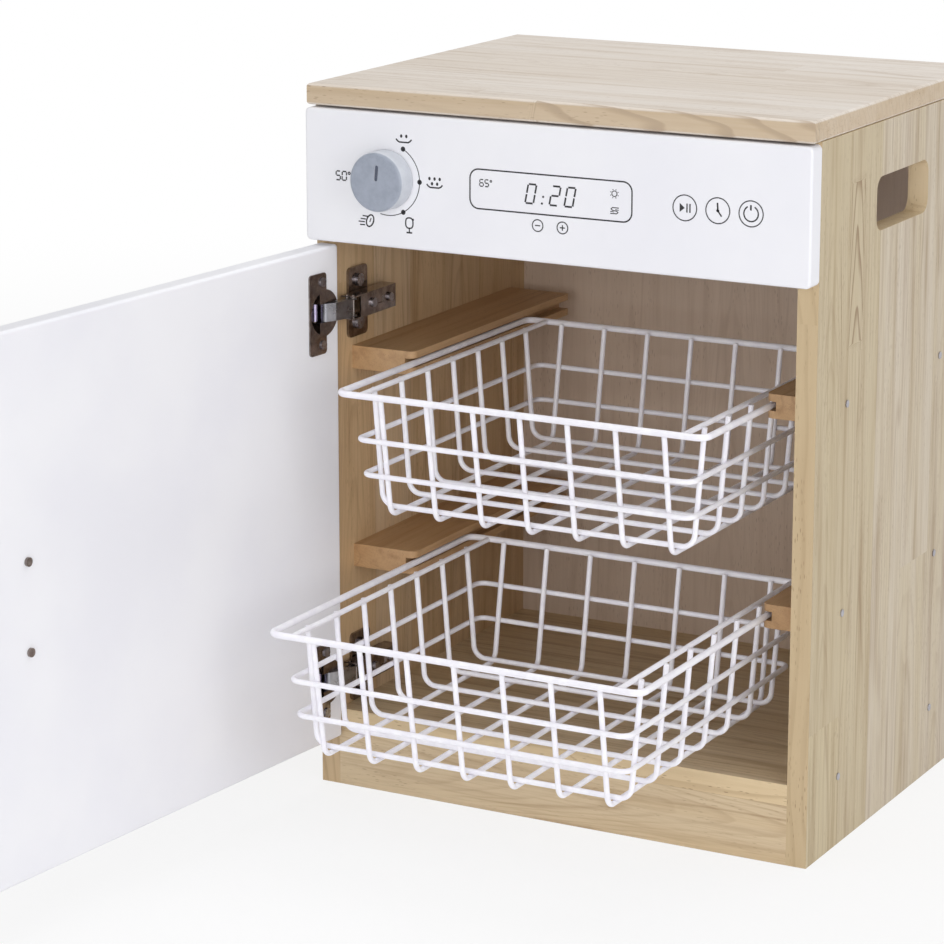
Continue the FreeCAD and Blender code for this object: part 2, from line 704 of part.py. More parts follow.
def make_cup(level):
    """Pressed cup with a rim, a screw flange and cheeks that carry the link pins."""
    name = "cup_" + level
    height = HINGE_HEIGHTS[level]
    centre = ("cup_centre", "0", height)
    pot = rod(name + "_pot", "cup_diameter", "cup_depth", centre, FRONTWARD)
    rim = rod(name + "_rim", "cup_diameter + 2 * cup_rim", "cup_wall", centre, BACKWARD)
    flange = sheet_body(name + "_flange", "XZ", ("-flange_width / 2", "-flange_length / 2"),
                        ("flange_width", "flange_length"), "cup_wall", "flange_corner")
    place(flange, ("cup_centre + flange_shift", "cup_wall", height))
    solid = fused(name + "_solid", [pot, rim, flange])
    inside = "cup_diameter - 2 * cup_wall"
    hollow = rod(name + "_hollow", inside, "cup_depth", ("cup_centre", "cup_wall", height),
                 FRONTWARD)
    cheeks = block(name + "_cheeks",
                   ("cheek_reach", "cup_depth + cup_wall", "cup_diameter"),
                   ("cup_centre - cup_diameter / 2", "-cup_depth",
                    height + " - cup_diameter / 2"))
    round_room = cut(name + "_room", hollow, [cheeks])
    window = block(name + "_window",
                   ("cup_centre + cup_diameter / 4", "cup_depth", "cheek_gap"),
                   ("0", "-cup_depth + cup_wall", height + " - cheek_gap / 2"))
    sleeve_pin = rod(name + "_sleeve_pin_hole", "pin_diameter + 2 * bore_play",
                     "cheek_gap + 2 * sleeve_pin_bite + 2 * sleeve_pin_play",
                     ("sleeve_along", "-sleeve_deep",
                      height + " - cheek_gap / 2 - sleeve_pin_bite - sleeve_pin_play"), UP)
    tools = [round_room, window, sleeve_pin]
    for sign, direction in ((" + ", UP), (" - ", DOWN)):
        base = (CUP_SCREW_ALONG, "cup_wall", height + sign + "cup_screw_reach")
        tools.append(rod(name + "_screw_hole", "screw_shank + 2 * bore_play", "cup_wall", base,
                         FRONTWARD))
        pin = ("cup_pivot_along", "-cup_pivot_deep", height + sign + "link_outer_width / 2")
        tools.append(rod(name + "_pin_hole", "pin_diameter + 2 * pin_play", "pin_hole_deep",
                         pin, direction))
    on_door(cut(name, solid, tools), "hinge_cup_" + level)


def make_cup_screws():
    screws = []
    for height in HINGE_HEIGHTS.values():
        for sign in (" + ", " - "):
            base = (CUP_SCREW_ALONG, "cup_wall", height + sign + "cup_screw_reach")
            shank = rod("cup_screw_shank", "screw_shank", "cup_wall + screw_grip", base,
                        FRONTWARD)
            head = rod("cup_screw_top", "cup_screw_head", "cup_screw_rise", base, BACKWARD)
            screws.append(fused("cup_screw", [shank, head]))
    on_door(grouped("cup_screw_set", screws), "cup_screws")


def make_cup_pins():
    """Short pins in the outer link's eyes and one long pin in the sleeve, held by the cheeks."""
    pins = []
    for height in HINGE_HEIGHTS.values():
        base = ("sleeve_along", "-sleeve_deep", height + " - cheek_gap / 2 - sleeve_pin_bite")
        pins.append(rod("sleeve_pin", "pin_diameter", "cheek_gap + 2 * sleeve_pin_bite", base,
                        UP))
        for sign, direction in ((" + ", UP), (" - ", DOWN)):
            start = height + sign + "(link_outer_width / 2 - link_plate)"
            base = ("cup_pivot_along", "-cup_pivot_deep", start)
            pins.append(rod("cup_pin", "pin_diameter", "link_plate + pin_bite", base, direction))
    on_door(grouped("cup_pin_set", pins), "cup_pins")


def make_cup_sleeves():
    sleeves = []
    for height in HINGE_HEIGHTS.values():
        base = ("sleeve_along", "-sleeve_deep", height + " - sleeve_length / 2")
        body = rod("sleeve_body", "sleeve_diameter", "sleeve_length", base, UP)
        bore = rod("sleeve_bore", "pin_diameter + 2 * pin_play", "sleeve_length", base, UP)
        sleeves.append(cut("cup_sleeve", body, [bore]))
    on_door(grouped("cup_sleeve_set", sleeves), "cup_sleeves")


# Hinge links and arm

def strap_face(start, end, first, last):
    """Flat outline round two eyes of different radius, joined by tangents."""
    span = end - start
    lean = math.asin((first - last) / span.Length)
    heading = math.atan2(span.y, span.x)
    sides = []
    for sign in (1, -1):
        angle = heading + sign * (math.pi / 2 - lean)
        normal = FreeCAD.Vector(math.cos(angle), math.sin(angle), 0)
        sides.append((start + normal * first, end + normal * last))
    ahead = FreeCAD.Vector(math.cos(heading), math.sin(heading), 0)
    edges = [
        Part.LineSegment(sides[0][0], sides[0][1]),
        Part.Arc(sides[0][1], end + ahead * last, sides[1][1]),
        Part.LineSegment(sides[1][1], sides[1][0]),
        Part.Arc(sides[1][0], start - ahead * first, sides[0][0]),
    ]
    return Part.Face(Part.Wire([edge.toShape() for edge in edges]))


def strap(points, radii, low, thick):
    """Bent sheet strap through its eyes and bends, as one solid."""
    solid = None
    for number in range(len(points) - 1):
        face = strap_face(points[number], points[number + 1], radii[number],
                          radii[number + 1])
        face.translate(FreeCAD.Vector(0, 0, low))
        piece = face.extrude(FreeCAD.Vector(0, 0, thick))
        solid = piece if solid is None else solid.fuse(piece)
    return solid.removeSplitter()


def eye_bore(solid, centre, low, high):
    radius = size("pin_diameter") / 2 + size("pin_play")
    base = FreeCAD.Vector(centre.x, centre.y, low)
    return solid.cut(Part.makeCylinder(radius, high - low, base))


def on_open_door(along_name, off):
    """Point given in the door's frame, where the open door has it."""
    point = FreeCAD.Vector(size(along_name), off, 0)
    return door_placement(size("door_open")).multVec(point)


def make_link(label, level, solid):
    item = doc.addObject("Part::Feature", label)
    item.Shape = solid
    lift = FreeCAD.Vector(0, 0, size(HINGE_HEIGHTS[level]))
    item.Placement = FreeCAD.Placement(lift, FreeCAD.Rotation())
    keep(item, label + "_" + level)


def make_outer_link(level):
    """Two hooked side plates joined by a bent web on the side away from the door edge."""
    eye = outer_pivot()
    knee = on_open_door("outer_knee_along", size("outer_knee_off"))
    tip = on_open_door("outer_tip_along", -size("outer_tip_deep"))
    cup = on_open_door("cup_pivot_along", -size("cup_pivot_deep"))
    half, plate = size("link_outer_width / 2"), size("link_plate")
    bend = size("outer_bend_radius")
    radii = [size("outer_eye"), bend, bend, size("outer_cup_eye"), bend]
    solid = outer_web(eye, knee, tip, half)
    for low in (-half, half - plate):
        solid = solid.fuse(strap([eye, knee, tip, cup, knee], radii, low, plate))
    solid = solid.removeSplitter()
    for centre in (eye, cup):
        solid = eye_bore(solid, centre, -half - 1, half + 1)
    make_link("outer_link", level, solid)


def outer_web(eye, knee, tip, half):
    """Sheet along the outer side of the link and round its tip."""
    first, second = (knee - eye).normalize(), (tip - knee).normalize()
    into_cup = turned(FRONTWARD, -size("door_open"))
    ways = [turned(first, 90), turned(second, 90), turned(into_cup, 90)]
    offset = size("outer_bend_radius + web_proud - web_sheet / 2")
    points = [
        eye + first * size("web_start") + ways[0] * offset,
        knee + (ways[0] + ways[1]).normalize() * offset,
        tip + ways[1] * offset,
        tip + (ways[1] + ways[2]).normalize() * offset,
        tip + ways[2] * offset,
    ]
    points.append(points[-1] + into_cup * size("web_reach"))
    return strap(points, [size("web_sheet / 2")] * len(points), -half, 2 * half)


def make_inner_link(level):
    """Hooked link that runs between the side plates of the outer one and into the cup."""
    points = [
        inner_pivot(),
        on_open_door("inner_rise_along", size("inner_rise_off")),
        on_open_door("inner_bend_along", size("inner_bend_off")),
        on_open_door("inner_end_along", -size("inner_end_deep")),
    ]
    thin = size("inner_strap")
    half = size("inner_link_width / 2")
    solid = strap(points, [size("inner_eye"), thin, thin, thin], -half, 2 * half)
    make_link("inner_link", level, eye_bore(solid, points[0], -half - 1, half + 1))


WALL = "(-" + INNER + ")"
ARM_TOP = "(%s + arm_height)" % WALL
ARM_START = "(%s + arm_nose)" % FRONT
PIVOTS = {
    "outer": (WALL + " + outer_pivot_in", FRONT + " + outer_pivot_back"),
    "inner": (WALL + " + inner_pivot_in", FRONT + " + inner_pivot_back"),
}
CLAMP_SETBACKS = ("clamp_front", "clamp_rear")


def make_arm(level):
    """Channel that carries the link pins at its nose and sits on the mounting plate."""
    name = "arm_" + level
    height = HINGE_HEIGHTS[level]
    outer = block(name + "_outer",
                  ("arm_height - arm_lift", "arm_length", "arm_width"),
                  (WALL + " + arm_lift", ARM_START, height + " - arm_width / 2"))
    room = block(name + "_room",
                 ("arm_height - arm_lift - arm_sheet", "arm_length", "arm_width - 2 * arm_sheet"),
                 (WALL + " + arm_lift", ARM_START, height + " - arm_width / 2 + arm_sheet"))
    nose = block(name + "_nose",
                 ("arm_height", "arm_cut_back", "arm_width - 2 * arm_sheet"),
                 (WALL + " + arm_lift", ARM_START, height + " - arm_width / 2 + arm_sheet"))
    slot = block(name + "_slot",
                 ("arm_height", "arm_slot_length", "arm_slot_width"),
                 (WALL + " + arm_lift",
                  FRONT + " + (clamp_front + clamp_rear - arm_slot_length) / 2",
                  height + " - arm_slot_width / 2"))
    tools = [room, nose, slot]
    for across, back in PIVOTS.values():
        tools.append(rod(name + "_pin_hole", "pin_diameter + 2 * bore_play", "arm_width",
                         (across, back, height + " - arm_width / 2"), UP))
    for setback in CLAMP_SETBACKS:
        tools.append(rod(name + "_clamp_hole", "clamp_shank + 2 * bore_play", "arm_sheet",
                         (ARM_TOP, FRONT + " + " + setback, height), LEFT))
    keep(cut(name, outer, tools), "hinge_arm_" + level)


def make_arm_pins():
    pins = []
    for height in HINGE_HEIGHTS.values():
        for across, back in PIVOTS.values():
            base = (across, back, height + " - arm_width / 2 - pin_rise")
            pins.append(rod("arm_pin", "pin_diameter", "arm_width + 2 * pin_rise", base, UP))
    keep(grouped("arm_pin_set", pins), "hinge_arm_pins")


def make_mounting_plate(level):
    """Plate screwed to the side panel, with the raised block that the arm clamps on."""
    name = "plate_" + level
    height = HINGE_HEIGHTS[level]
    wings = sheet_body(name + "_wings", "YZ", ("-plate_wing_width / 2", "-plate_wing_height / 2"),
                       ("plate_wing_width", "plate_wing_height"), "plate_wing_sheet",
                       "plate_wing_corner")
    place(wings, (WALL, FRONT + " + plate_centre", height))
    raised = block(name + "_block",
                   ("arm_height - arm_sheet", "plate_body_length",
                    "arm_width - 2 * arm_sheet - 2 * plate_body_play"),
                   (WALL, FRONT + " + plate_body_front",
                    height + " - arm_width / 2 + arm_sheet + plate_body_play"))
    tools = []
    for setback in CLAMP_SETBACKS:
        tools.append(rod(name + "_clamp_bore", "clamp_shank + 2 * bore_play",
                         "arm_sheet + clamp_grip",
                         (ARM_TOP, FRONT + " + " + setback, height), LEFT))
    for sign in (" + ", " - "):
        base = (WALL, FRONT + " + plate_centre", height + sign + "plate_screw_reach")
        tools.append(rod(name + "_screw_hole", "screw_shank + 2 * bore_play",
                         "plate_wing_sheet", base, RIGHT))
    solid = fused(name + "_solid", [wings, raised])
    keep(cut(name, solid, tools), "mounting_plate_" + level)


def make_plate_screws():
    screws = []
    for height in HINGE_HEIGHTS.values():
        for sign in (" + ", " - "):
            base = (WALL + " + plate_wing_sheet", FRONT + " + plate_centre",
                    height + sign + "plate_screw_reach")
            shank = rod("plate_screw_shank", "screw_shank", "plate_wing_sheet + screw_grip",
                        base, LEFT)
            head = rod("plate_screw_top", "plate_screw_head", "plate_screw_rise", base, RIGHT)
            screws.append(fused("plate_screw", [shank, head]))
    keep(grouped("plate_screw_set", screws), "mounting_plate_screws")


def make_clamp_screws():
    screws = []
    for height in HINGE_HEIGHTS.values():
        for setback in CLAMP_SETBACKS:
            base = (ARM_TOP, FRONT + " + " + setback, height)
            shank = rod("clamp_screw_shank", "clamp_shank", "clamp_grip", base, LEFT)
            head = rod("clamp_screw_top", "clamp_head", "clamp_head_rise", base, RIGHT)
            screws.append(fused("clamp_screw", [shank, head]))
    keep(grouped("clamp_screw_set", screws), "hinge_clamp_screws")


# Wire baskets: each wire is a round bar along straight runs joined by tangent bends

def bent_path(points, radius, closed=False):
    """Wire through the points with every corner rounded to one radius."""
    corners = [FreeCAD.Vector(*point) for point in points]
    count = len(corners)
    middle = range(count) if closed else range(1, count - 1)
    bends = {}
    for number in middle:
        corner = corners[number]
        before = (corners[number - 1] - corner).normalize()
        after = (corners[(number + 1) % count] - corner).normalize()
        half = before.getAngle(after) / 2
        setback = radius / math.tan(half)
        inward = (before + after).normalize()
        start, end = corner + before * setback, corner + after * setback
        crown = corner + inward * (radius / math.sin(half) - radius)
        bends[number] = (start, crown, end)
    edges = []
    for number in range(count if closed else count - 1):
        after = (number + 1) % count
        start = bends[number][2] if number in bends else corners[number]
        end = bends[after][0] if after in bends else corners[after]
        edges.append(Part.LineSegment(start, end).toShape())
        if after in bends:
            edges.append(Part.Arc(*bends[after]).toShape())
    return Part.Wire(edges)


def tube(path, diameter):
    """Round bar swept along a path of lines and tangent arcs."""
    first = path.Edges[0]
    start = first.valueAt(first.FirstParameter)
    heading = first.tangentAt(first.FirstParameter)
    section = Part.Wire(Part.makeCircle(diameter / 2, start, heading))
    return path.makePipeShell([section], True, False)


def reach_of_rim():
    """Half width and half length of the rim, centre to centre."""
    between = size("2 * %s - runner_left_width - runner_right_width" % INNER)
    half_width = between / 2 + size("groove_depth - rim_side_play - rim_wire / 2")
    return half_width, size(ROOM_DEPTH + " - basket_stop - basket_front") / 2


def leg_start(gap, slope):
    """Distance from a wire to a sloping leg beside it, level with that wire."""
    return gap / math.cos(math.atan(slope))


def leg_offsets():
    """Half reach of the long and the cross legs, level with the rim."""
    half_width, half_length = reach_of_rim()
    thin, thick, weld = size("wire") / 2, size("rim_wire") / 2, size("weld")
    long_start = half_length - leg_start(thick + thin + weld, size("long_slope"))
    side_wire = half_width - size("bay_width")
    cross_start = side_wire + leg_start(2 * thin + weld, size("cross_slope"))
    return long_start, cross_start


def make_wires(basket, label, wires):
    item = doc.addObject("Part::Feature", label)
    item.Shape = wires[0] if len(wires) == 1 else Part.makeCompound(wires)
    item.Placement = FreeCAD.Placement(basket, FreeCAD.Rotation())
    keep(item, label)


def ring(half_width, half_length, height, diameter):
    corners = [(half_width, half_length, height), (-half_width, half_length, height),
               (-half_width, -half_length, height), (half_width, -half_length, height)]
    return tube(bent_path(corners, size("rim_corner"), True), diameter)


def mesh_wires(spread, start, slope, depth, lengthwise):
    """Parallel U-shaped wires: two sloping legs from the rim and a level bottom."""
    wires = []
    low = start - slope * depth
    for number in range(MESH_COUNT):
        shift = spread * (2 * number / (MESH_COUNT - 1) - 1)
        profile = [(start, 0), (low, -depth), (-low, -depth), (-start, 0)]
        points = [(shift, a, z) if lengthwise else (a, shift, z) for a, z in profile]
        wires.append(tube(bent_path(points, size("wire_bend")), size("wire")))
    return wires


def make_basket(level):
    """Rim, side wires, two hoops and the crossed mesh of one basket."""
    half_width, half_length = reach_of_rim()
    long_start, cross_start = leg_offsets()
    middle = size("(runner_left_width - runner_right_width) / 2")
    pulled = size("%s - basket_stop - %s_pulled" % (BACK_FACE, level)) - half_length
    floor = size(RUNNER_HEIGHTS[level] + " - groove_height / 2")
    rim_height = floor + size("rim_wire / 2 + basket_play")
    basket = FreeCAD.Vector(middle, pulled, rim_height)
    rim = ring(half_width, half_length, 0, size("rim_wire"))
    make_wires(basket, level + "_basket_rim", [rim])
    thin, weld = size("wire") / 2, size("weld")
    side_end = half_length - size("rim_wire") / 2 - weld
    side = half_width - size("bay_width")
    sides = []
    for across in (-side, side):
        start = FreeCAD.Vector(across, -side_end, 0)
        sides.append(Part.makeCylinder(thin, 2 * side_end, start, BACKWARD))
    make_wires(basket, level + "_basket_side_wires", sides)
    hoops = []
    for drop in (size("hoop_upper"), size("hoop_lower")):
        gap = 2 * thin + weld
        across = cross_start - size("cross_slope") * drop + leg_start(gap, size("cross_slope"))
        back = long_start - size("long_slope") * drop + leg_start(gap, size("long_slope"))
        hoops.append(ring(across, back, -drop, size("wire")))
    make_wires(basket, level + "_basket_hoops", hoops)
    depth = size("basket_depth")
    long_wires = mesh_wires(half_width - size("long_margin"), long_start, size("long_slope"),
                            depth, True)
    make_wires(basket, level + "_basket_long_wires", long_wires)
    cross_depth = depth - 2 * thin - weld
    cross_wires = mesh_wires(half_length - size("cross_margin"), cross_start,
                             size("cross_slope"), cross_depth, False)
    make_wires(basket, level + "_basket_cross_wires", cross_wires)


# Whole object

def make_cabinet():
    make_top_board()
    for side, sign in (("left", -1), ("right", 1)):
        make_side_panel(side, sign)
        for level in ("upper", "lower"):
            make_runner(level, side, sign)
    make_bottom_board()
    make_plinth_and_back()
    make_case_screws()
    make_fascia()
    make_spindle()
    make_knob()


def make_hinges():
    for level in HINGE_HEIGHTS:
        make_arm(level)
        make_mounting_plate(level)
        make_outer_link(level)
        make_inner_link(level)
        make_cup(level)
    make_arm_pins()
    make_clamp_screws()
    make_plate_screws()
    make_cup_screws()
    make_cup_pins()
    make_cup_sleeves()


def check_document():
    """Stop on any object that failed and on any empty or faulty shape."""
    for item in doc.Objects:
        if "Invalid" in item.State or "Error" in item.State:
            raise ValueError("%s failed: %s" % (item.Name, item.State))
    for item in PARTS:
        if item.Shape.isNull() or not item.Shape.isValid():
            raise ValueError(item.Label + " has no valid shape")


def write_parts():
    os.makedirs("parts", exist_ok=True)
    for item in PARTS:
        item.Shape.exportStep("parts/%s.step" % item.Label)


def main():
    make_sheet()
    make_cabinet()
    make_door()
    make_handle()
    make_handle_screws()
    make_hinges()
    for level in ("upper", "lower"):
        make_basket(level)
    doc.recompute()
    check_document()
    write_parts()


main()
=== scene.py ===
import math
import bmesh
import bpy
from mathutils import Matrix, Vector


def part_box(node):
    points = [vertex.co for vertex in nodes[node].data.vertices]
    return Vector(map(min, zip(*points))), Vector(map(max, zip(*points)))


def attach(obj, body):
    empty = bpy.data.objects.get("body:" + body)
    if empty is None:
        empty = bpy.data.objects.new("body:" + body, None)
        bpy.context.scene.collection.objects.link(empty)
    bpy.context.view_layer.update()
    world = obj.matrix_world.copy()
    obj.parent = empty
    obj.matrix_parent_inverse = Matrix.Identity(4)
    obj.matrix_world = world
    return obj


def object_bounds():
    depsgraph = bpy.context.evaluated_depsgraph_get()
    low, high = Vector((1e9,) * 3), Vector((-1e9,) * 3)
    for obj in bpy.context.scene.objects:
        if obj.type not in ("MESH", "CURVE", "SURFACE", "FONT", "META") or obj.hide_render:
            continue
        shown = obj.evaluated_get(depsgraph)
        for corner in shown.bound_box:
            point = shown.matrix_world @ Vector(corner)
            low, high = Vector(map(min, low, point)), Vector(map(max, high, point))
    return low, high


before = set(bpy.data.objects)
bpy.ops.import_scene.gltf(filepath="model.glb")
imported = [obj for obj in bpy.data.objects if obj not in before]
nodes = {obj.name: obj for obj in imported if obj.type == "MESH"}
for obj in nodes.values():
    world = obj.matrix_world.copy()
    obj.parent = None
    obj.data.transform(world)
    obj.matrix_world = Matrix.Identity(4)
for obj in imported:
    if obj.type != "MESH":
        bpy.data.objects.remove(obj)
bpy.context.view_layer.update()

MM = 0.001

# Camera at the photograph's place, turned to the object and shifted a little to its framing
PHOTO_SIDE = 944
CAMERA_PLACE = (1.1204, -2.2076, 0.9033)
CAMERA_AZIMUTH = 28.455
CAMERA_ELEVATION = 13.067
CAMERA_ROLL = -0.010
FOCAL_PIXELS = 3452.3
AXIS_PIXEL_Y = 396.5
SENSOR_WIDTH = 36.0


# Node trees

class Nodes:
    """A material's node tree, written in short calls."""

    def __init__(self, name):
        self.material = bpy.data.materials.new(name)
        self.material.use_nodes = True
        self.tree = self.material.node_tree
        self.tree.nodes.clear()
        self.output = self.add("ShaderNodeOutputMaterial")
        self.shader = self.add("ShaderNodeBsdfPrincipled")
        self.tree.links.new(self.shader.outputs[0], self.output.inputs[0])

    def add(self, kind, **settings):
        node = self.tree.nodes.new(kind)
        for name, value in settings.items():
            setattr(node, name, value)
        return node

    def feed(self, socket, value):
        if isinstance(value, bpy.types.NodeSocket):
            self.tree.links.new(value, socket)
        elif value is not None:
            socket.default_value = value

    def set(self, **values):
        """Sockets of the shader by name, with underscores for spaces."""
        for name, value in values.items():
            self.feed(self.shader.inputs[name.replace("_", " ")], value)

    def place(self):
        return self.add("ShaderNodeTexCoord").outputs["Object"]

    def axes(self, vector):
        node = self.add("ShaderNodeSeparateXYZ")
        self.feed(node.inputs[0], vector)
        return node.outputs

    def join(self, x, y, z):
        node = self.add("ShaderNodeCombineXYZ")
        for socket, value in zip(node.inputs, (x, y, z)):
            self.feed(socket, value)
        return node.outputs[0]

    def math(self, operation, first, second=None, clamp=False):
        node = self.add("ShaderNodeMath", operation=operation, use_clamp=clamp)
        self.feed(node.inputs[0], first)
        self.feed(node.inputs[1], second)
        return node.outputs[0]

    def random(self, *values):
        """Steady random number from up to three numbers."""
        node = self.add("ShaderNodeTexWhiteNoise", noise_dimensions="3D")
        padded = list(values) + [0.0] * (3 - len(values))
        self.feed(node.inputs["Vector"], self.join(*padded))
        return node.outputs["Value"]

    def noise(self, vector, scale, detail=2.0, roughness=0.5, distortion=0.0):
        node = self.add("ShaderNodeTexNoise")
        self.feed(node.inputs["Vector"], vector)
        for name, value in (("Scale", scale), ("Detail", detail), ("Roughness", roughness),
                            ("Distortion", distortion)):
            self.feed(node.inputs[name], value)
        return node.outputs[0]

    def cells(self, vector, scale, feature="F1"):
        node = self.add("ShaderNodeTexVoronoi", feature=feature)
        self.feed(node.inputs["Vector"], vector)
        self.feed(node.inputs["Scale"], scale)
        return node.outputs["Distance"]

    def span(self, value, low, high, to_low=0.0, to_high=1.0):
        """Map a range to another, held at its ends."""
        node = self.add("ShaderNodeMapRange", interpolation_type="SMOOTHSTEP")
        for socket, number in zip(node.inputs, (value, low, high, to_low, to_high)):
            self.feed(socket, number)
        return node.outputs[0]

    def mix(self, factor, first, second, blend="MIX"):
        node = self.add("ShaderNodeMix", data_type="RGBA", blend_type=blend)
        self.feed(node.inputs[0], factor)
        self.feed(node.inputs[6], first)
        self.feed(node.inputs[7], second)
        return node.outputs[2]

    def bump(self, height, strength, distance):
        node = self.add("ShaderNodeBump")
        node.inputs["Strength"].default_value = strength
        node.inputs["Distance"].default_value = distance
        self.feed(node.inputs["Height"], height)
        self.set(Normal=node.outputs[0])


def rgb(red, green, blue):
    """Scene colour of an eight-bit display colour."""
    def linear(value):
        value /= 255.0
        return value / 12.92 if value <= 0.04045 else ((value + 0.055) / 1.055) ** 2.4
    return (linear(red), linear(green), linear(blue), 1.0)


# Wood: each palette is a pale, a middle and a brown colour

# The top board's palette is greyer and paler than the other boards': wood colour with painted sheen
# of the overhead light.
TOP_WOOD_WITH_PAINTED_SHEEN = (rgb(235, 228, 220), rgb(224, 213, 200), rgb(180, 160, 138))
SIDE_WOOD = (rgb(212, 200, 182), rgb(203, 187, 152), rgb(142, 112, 78))
# The left side panel's palette is a warmer copy of the right panel's: painted warm shade of the
# cabinet's inside.
INNER_WOOD_WITH_PAINTED_SHADE = (rgb(220, 196, 164), rgb(206, 174, 132), rgb(142, 106, 70))
BASE_WOOD = (rgb(221, 203, 173), rgb(206, 181, 141), rgb(142, 106, 66))
RUNNER_WOOD = (rgb(204, 170, 130), rgb(182, 142, 98), rgb(136, 98, 62))
BACK_SHEET = (rgb(218, 199, 182), rgb(206, 186, 168), rgb(178, 154, 134))
TOP_EDGE = rgb(193, 166, 126)
SIDE_EDGE = rgb(221, 197, 156)
WOOD_FLECK = rgb(116, 78, 50)


def stretched(g, u, v, w, along, across):
    """Place scaled along the grain and across it."""
    return g.join(g.math("MULTIPLY", u, along), g.math("MULTIPLY", v, across),
                  g.math("MULTIPLY", w, across))


def growth_lines(g, u, v_local, drift, flat):
    """Growth lines: nested arches on flat-sawn strips, straight lines on the others."""
    arch = g.math("MULTIPLY", g.math("POWER", v_local, 2.0), 7000.0)
    arches = g.math("ADD", arch, g.math("MULTIPLY", u, 22.0))
    straight = g.math("MULTIPLY", v_local, 190.0)
    lines = g.math("ADD", g.math("MULTIPLY", arches, flat),
                   g.math("MULTIPLY", straight, g.math("SUBTRACT", 1.0, flat)))
    phase = g.math("FRACT", g.math("ADD", lines, g.math("MULTIPLY", drift, 5.0)))
    rise = g.span(phase, 0.55, 0.90)
    return g.math("MULTIPLY", rise, g.span(phase, 1.0, 0.92))


def inside(g, value, low, high, soft):
    """One between two limits, falling to nothing softly outside them."""
    return g.math("MULTIPLY", g.span(value, low - soft, low + soft),
                  g.span(value, high + soft, high - soft))


